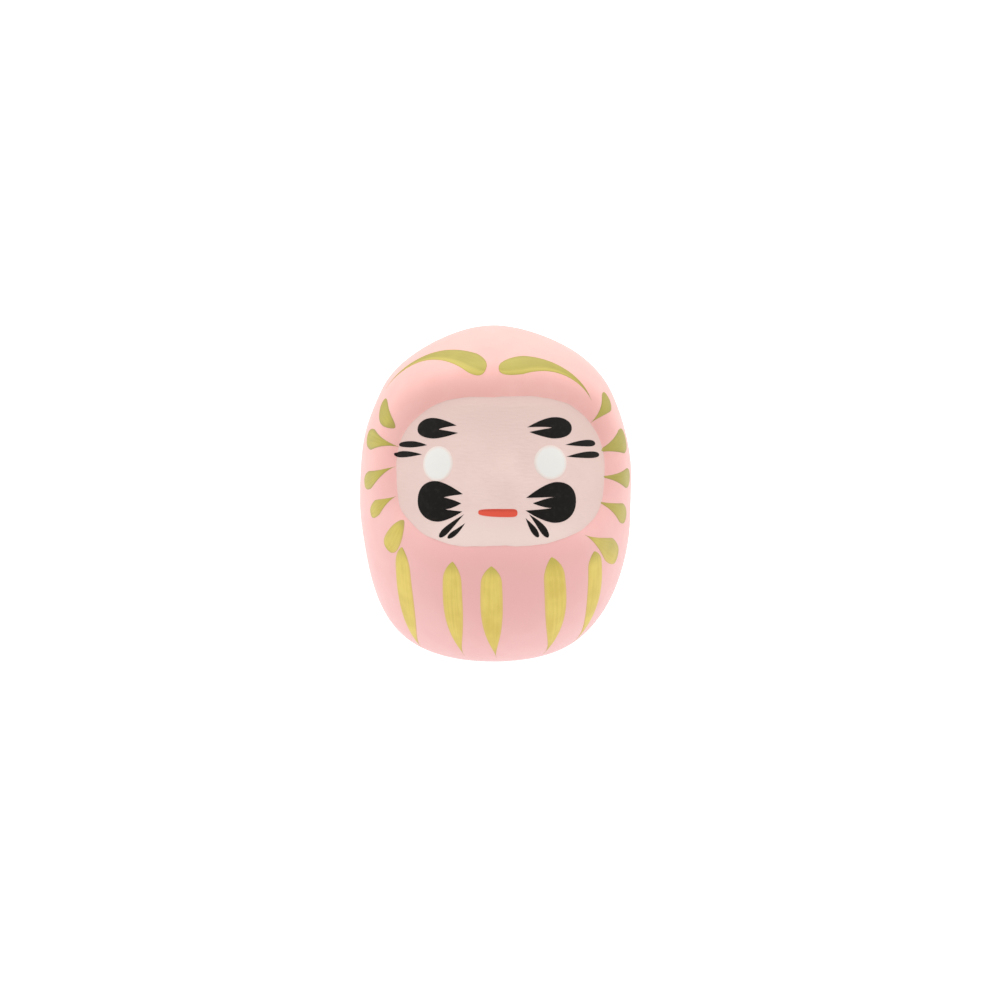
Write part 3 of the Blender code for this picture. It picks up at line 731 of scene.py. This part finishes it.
# The duller gold, also painted higher up as painted shade where the gold's reflection fades.
DULL_GOLD = (0.44, 0.37, 0.065, 1)
BRIGHT_DULL_GOLD = (0.53, 0.45, 0.09, 1)
THIN_DULL_GOLD = (0.36, 0.31, 0.09, 1)
# Painted glint: the brighter gold along the lower edge of the hood strokes.
GLINT_GOLD = (0.54, 0.45, 0.095, 1)
# Painted shade: the darker gold on the hood strokes.
SHADED_DEEP_GOLD = (0.37, 0.31, 0.055, 1)
TAIL_GOLD = (0.34, 0.26, 0.08, 1)
GOLD_METALLIC = 0.15
HAIRS_STRETCH = (2, 9, 1)
HAIRS = (1, 4, 0.6)
POWDER = (1500, 2)
POOLS = (160, 2)
HAIRS_SHARE, POOLS_SHARE = 0.45, 0.55
STREAK_TONES = (0.35, 0.65)
THIN_WAVER, THIN_EDGE = 0.16, (0.40, 0.62)
SET_DOWN_WAVER, SET_DOWN, SET_DOWN_STRENGTH = 0.06, (0.15, 0.04), 0.6
# Where the painted glint lies along the hood strokes' lower edge, where painted shade darkens the hood
# strokes, and the heights over which the gold is painted duller upwards, as painted reflection and shade.
GLINT_HEIGHT = (0.078, 0.084)
GLINT_WAVER, GLINT_EDGE = 0.2, (0.25, 0.5)
HOOD_SHADE_HEIGHT, HOOD_SHADE_STRENGTH = (0.070, 0.082), 0.6
REFLECTION_FADE_HEIGHT = (0.026, 0.062)
# The gold strokes on the right-hand side are darker between these heights.
DARKER_RIGHT_SIDE = (0.022, 0.034)
DARKER_RIGHT_BOTTOM, DARKER_RIGHT_TOP, DARKER_RIGHT_STRENGTH = (0.030, 0.038), (0.082, 0.072), 0.45
TAIL_WAVER, TAIL, TAIL_STRENGTH = 0.1, (0.80, 1.08), 0.7
GOLD_ROUGHNESS = 0.42
POWDER_ROUGHER = 0.16
HAIRS_RELIEF, POWDER_RELIEF = 0.7, 0.3
GOLD_RELIEF = 0.00008

gold_finish, gold_shader, gold_place = new_finish("gold_size", Metallic=GOLD_METALLIC)
gold_brush = gold_place.brush()
gold_across = gold_brush.axis("Y")
gold_along = gold_brush.axis("X").alone('FRACT')
gold_height = gold_place.axis("Z")
hairs = gold_brush.stretched(HAIRS_STRETCH).noise(*HAIRS)
powder = gold_place.noise(*POWDER)
streak = (hairs * HAIRS_SHARE + gold_place.noise(*POOLS) * POOLS_SHARE).between(*STREAK_TONES)
thin = (gold_across.alone('ABSOLUTE') + hairs * THIN_WAVER).between(*THIN_EDGE)
set_down = (gold_along + hairs * SET_DOWN_WAVER).between(*SET_DOWN) * SET_DOWN_STRENGTH
bright_gold = thin.blend(streak.blend(GOLD, BRIGHT_GOLD), THIN_GOLD)
low_gold = set_down.blend(bright_gold, DULL_GOLD)
# Painted shade: the duller gold higher up, darker still on the hood, with a painted glint along the hood
# strokes' lower edge.
shaded_gold = thin.blend(streak.blend(DULL_GOLD, BRIGHT_DULL_GOLD), THIN_DULL_GOLD)
hood_gold = (gold_height.between(*HOOD_SHADE_HEIGHT) * HOOD_SHADE_STRENGTH).blend(shaded_gold, SHADED_DEEP_GOLD)
lower_edge_glint = (0 - gold_across + hairs * GLINT_WAVER).between(*GLINT_EDGE)
painted_high_gold = (gold_height.between(*GLINT_HEIGHT) * lower_edge_glint).blend(hood_gold, GLINT_GOLD)
# Painted reflection and shade: the gold is bright low on the belly and duller higher up.
all_gold = gold_height.between(*REFLECTION_FADE_HEIGHT).blend(low_gold, painted_high_gold)
# Darker gold on the right-hand side, between the belly and the hood.
darker_right_height = gold_height.between(*DARKER_RIGHT_BOTTOM) * gold_height.between(*DARKER_RIGHT_TOP)
darker_right = gold_place.axis("X").between(*DARKER_RIGHT_SIDE) * darker_right_height * DARKER_RIGHT_STRENGTH
tail = (gold_along + hairs * TAIL_WAVER).between(*TAIL) * TAIL_STRENGTH
feed(gold_shader, tail.blend(darker_right.blend(all_gold, THIN_DULL_GOLD), TAIL_GOLD),
     GOLD_ROUGHNESS + powder * POWDER_ROUGHER, hairs * HAIRS_RELIEF + powder * POWDER_RELIEF, GOLD_RELIEF)

# Each pull: longitude, latitude, length, turn, width, the share where it is widest, and bow.
for name, node, manner, *pull in (
        ("hood_gold_left", "left_hood_stroke", HOOD_MANNER, -51, 53.2, 40, -160, 8.6, 0.15, -5.8),
        ("hood_gold_right", "right_hood_stroke", HOOD_MANNER, 29, 51.1, 32.6, -25, 7.4, 0.24, 4),
        ("side_gold_left_1", "left_side_stroke_1", ROUND_MANNER, -67, 32.5, 11.8, -33, 5.3, 0.45, -1),
        ("side_gold_left_2", "left_side_stroke_2", SIDE_MANNER, -69, 21.5, 16, 1, 6.2, 0.33, -0.5),
        ("side_gold_left_3", "left_side_stroke_3", SIDE_MANNER, -66.5, 7.5, 15.5, 28, 5.6, 0.3, -1),
        ("side_gold_left_4", "left_side_stroke_4", SIDE_MANNER, -61, -5, 12, 32, 4.7, 0.4, 0),
        ("side_gold_left_5", "left_side_stroke_5", ROUND_MANNER, -51.5, -16, 10.5, 56, 6.4, 0.3, -0.6),
        ("side_gold_right_1", "right_side_stroke_1", SIDE_MANNER, 60, 36.5, 10.5, -150, 5.5, 0.3, 0.5),
        ("side_gold_right_2", "right_side_stroke_2", SIDE_MANNER, 64.5, 21.6, 13.8, -174, 7.2, 0.33, 0.5),
        ("side_gold_right_3", "right_side_stroke_3", SIDE_MANNER, 63.5, 7.5, 15, 170, 6, 0.25, 0.5),
        ("side_gold_right_4", "right_side_stroke_4", SIDE_MANNER, 59, -6, 14.5, 156, 5.8, 0.3, 0),
        ("side_gold_right_5", "right_side_stroke_5", SIDE_MANNER, 50, -20.3, 19, 155, 7, 0.36, -0.4),
        ("belly_gold_1", "belly_stroke_1", BELLY_MANNER, -53.7, -42.6, 42.5, -107.5, 6.8, 0.18, 2.5),
        ("belly_gold_2", "belly_stroke_2", BELLY_MANNER, -23.5, -45, 38.5, -94, 6.5, 0.18, 0),
        ("belly_gold_3", "belly_stroke_3", BELLY_MANNER, -4, -45.8, 38, -86.8, 7.1, 0.16, -0.4),
        ("belly_gold_4", "belly_stroke_4", BELLY_MANNER, 26.6, -44, 41, -76, 7.8, 0.18, 0.4),
        ("belly_gold_5", "belly_stroke_5", BELLY_MANNER, 50.3, -41.3, 38.3, -70, 6.8, 0.14, 0)):
    rows, uv = brush_stroke(0, GOLD_PROUD, manner, *pull)
    gold = closed_piece(name, rows, uv)
    gold.data.materials.append(gold_finish)
    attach(gold, "root")
    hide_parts(node)

# The floor: a sheet of white diffusing plastic on a light table, which is lit more strongly behind the
# doll and fades towards the camera's stand, so that it stays pale and shadowless.
FLOOR_HALF = 3.0
FLOOR_GLOW = (1.08, 1.08, 1.08, 1)
FLOOR_BACK_GLOW = (1.35, 1.35, 1.35, 1)
FLOOR_FRONT_GLOW = (0.17, 0.17, 0.17, 1)
FLOOR_BACK = (-0.02, 0.02)
FLOOR_FADE = (-2.6, -0.42)
FLOOR_GREY = (0.05, 0.05, 0.05, 1)
FLOOR_ROUGHNESS = 0.9
FLOOR_GLOSS = 0.1

floor_mesh = bpy.data.meshes.new("floor")
floor_mesh.from_pydata([(-FLOOR_HALF, -FLOOR_HALF, 0), (FLOOR_HALF, -FLOOR_HALF, 0),
                        (FLOOR_HALF, FLOOR_HALF, 0), (-FLOOR_HALF, FLOOR_HALF, 0)], [], [(0, 1, 2, 3)])
floor = bpy.data.objects.new("floor", floor_mesh)
bpy.context.scene.collection.objects.link(floor)
floor_finish, floor_shader, floor_place = new_finish(
    "white_floor", Base_Color=FLOOR_GREY, Roughness=FLOOR_ROUGHNESS, Specular_IOR_Level=FLOOR_GLOSS,
    Emission_Strength=1.0)
floor_depth = floor_place.axis("Y")
floor_bright = floor_depth.between(*FLOOR_BACK).blend(FLOOR_GLOW, FLOOR_BACK_GLOW)
floor_glow = floor_depth.between(*FLOOR_FADE).blend(FLOOR_FRONT_GLOW, floor_bright)
floor_shader.id_data.links.new(floor_glow.socket, floor_shader.inputs["Emission Color"])
floor_mesh.materials.append(floor_finish)

# The light: a tent of white cloth round the doll, lit by soft panels above it, on both sides, behind it
# and high in front, and by one narrow bright panel straight behind it that keeps the background white.
# The camera's side is dim, so that the doll's rim is pale and its middle deeper.
TENT_WHITE = (0.8, 0.8, 0.8, 1)
TENT_GLOW = 0.25
# Each panel: where it stands, its brightness and its tightness.
PANELS = [((0, 0, 1.0), 3.3, 4.0), ((-0.96, 0.2, 0.2), 1.4, 4.0), ((0.96, 0.2, 0.15), 1.45, 4.0),
          ((0.07, 1.0, 0), 0.95, 24.0), ((0, 1.0, 0), 0.4, 4.0), ((0, 0.7, 0.7), 0.25, 4.0),
          ((0, -0.7, 0.7), 0.55, 4.0)]

tent = bpy.data.worlds.new("tent")
tent.use_nodes = True
tent.node_tree.nodes.clear()
tent_out = tent.node_tree.nodes.new("ShaderNodeOutputWorld")
tent_glow = tent.node_tree.nodes.new("ShaderNodeBackground")
tent_glow.inputs["Color"].default_value = TENT_WHITE
tent.node_tree.links.new(tent_glow.outputs["Background"], tent_out.inputs["Surface"])
sky = Wire(tent.node_tree.nodes.new("ShaderNodeTexCoord").outputs["Generated"])
shine = TENT_GLOW
for toward, brightness, tightness in PANELS:
    facing = sky.make("ShaderNodeVectorMath", {"operation": 'DOT_PRODUCT'}, {0: sky, 1: toward}, "Value")
    shine = facing.maths('MAXIMUM', facing, 0.0) ** tightness * brightness + shine
tent.node_tree.links.new(shine.socket, tent_glow.inputs["Strength"])
bpy.context.scene.world = tent
bpy.context.scene.view_settings.view_transform = 'Standard'
bpy.context.scene.view_settings.look = 'None'

# The camera: a long lens a metre away, a little above the doll and to the viewer's left of its front,
# turned slightly so that the doll leans as it stands in the picture.
CAMERA_AWAY = 1.0
CAMERA_UP = np.radians(8)
CAMERA_ROUND = np.radians(-4)
CAMERA_ROLL = np.radians(0.9)
AIM_HEIGHT = 0.05
PICTURE_WIDTH = 994
PICTURE_HEIGHT = 995
FOCUS_PIXELS = 3290.0
AIM_PIXEL = (495.46, 491.6)
SENSOR = 36.0

back = np.array([np.sin(CAMERA_ROUND) * np.cos(CAMERA_UP), -np.cos(CAMERA_ROUND) * np.cos(CAMERA_UP),
                 np.sin(CAMERA_UP)])
level = np.array([np.cos(CAMERA_ROUND), np.sin(CAMERA_ROUND), 0])
upright = np.cross(back, level)
right = np.cos(CAMERA_ROLL) * level + np.sin(CAMERA_ROLL) * upright
upward = np.cos(CAMERA_ROLL) * upright - np.sin(CAMERA_ROLL) * level
stand = np.eye(4)
stand[:3, :3] = np.stack([right, upward, back], axis=1)
stand[:3, 3] = back * CAMERA_AWAY + np.array([0, 0, AIM_HEIGHT])
lens = bpy.data.cameras.new("camera")
lens.sensor_fit = 'HORIZONTAL'
lens.sensor_width = SENSOR
lens.lens = FOCUS_PIXELS * SENSOR / PICTURE_WIDTH
lens.shift_x = (PICTURE_WIDTH / 2 - AIM_PIXEL[0]) / PICTURE_WIDTH
lens.shift_y = (AIM_PIXEL[1] - PICTURE_HEIGHT / 2) / PICTURE_WIDTH
camera = bpy.data.objects.new("camera", lens)
camera.matrix_world = stand.T.tolist()
bpy.context.scene.collection.objects.link(camera)
bpy.context.scene.camera = camera
